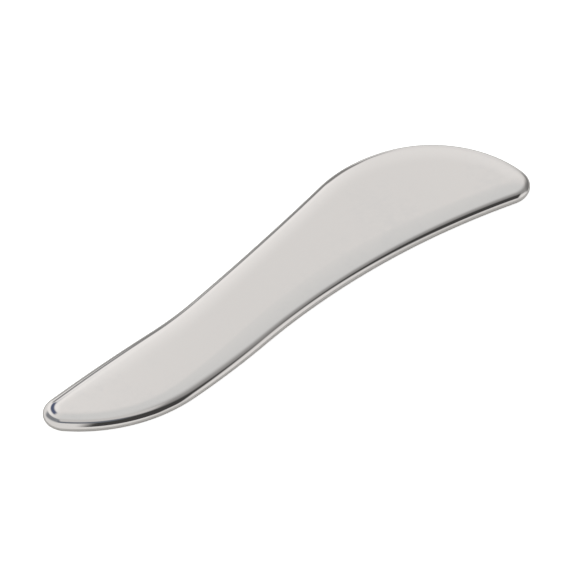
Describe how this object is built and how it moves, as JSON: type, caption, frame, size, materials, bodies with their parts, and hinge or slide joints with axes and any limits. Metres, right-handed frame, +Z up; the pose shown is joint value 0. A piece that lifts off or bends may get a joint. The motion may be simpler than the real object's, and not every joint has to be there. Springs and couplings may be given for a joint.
{
  "type": "gua sha scraper",
  "caption": "Flat S-curved gua sha scraper in polished stainless steel, with a rounded rim, a broad head, a long hollow edge and a slim rounded tail.",
  "frame": {"origin": "under the middle of the blade's box, on the lower face that it lies on", "axes": "+X along the blade from the slim tail to the broad head, +Z up through its thickness; the long hollow edge is on the -Y side"},
  "size_m": [0.16, 0.0428, 0.004],
  "materials": {
    "polished_steel": "polished"
  },
  "bodies": {
    "root": {"scraper_blade": "polished_steel"}
  },
  "joints": []
}
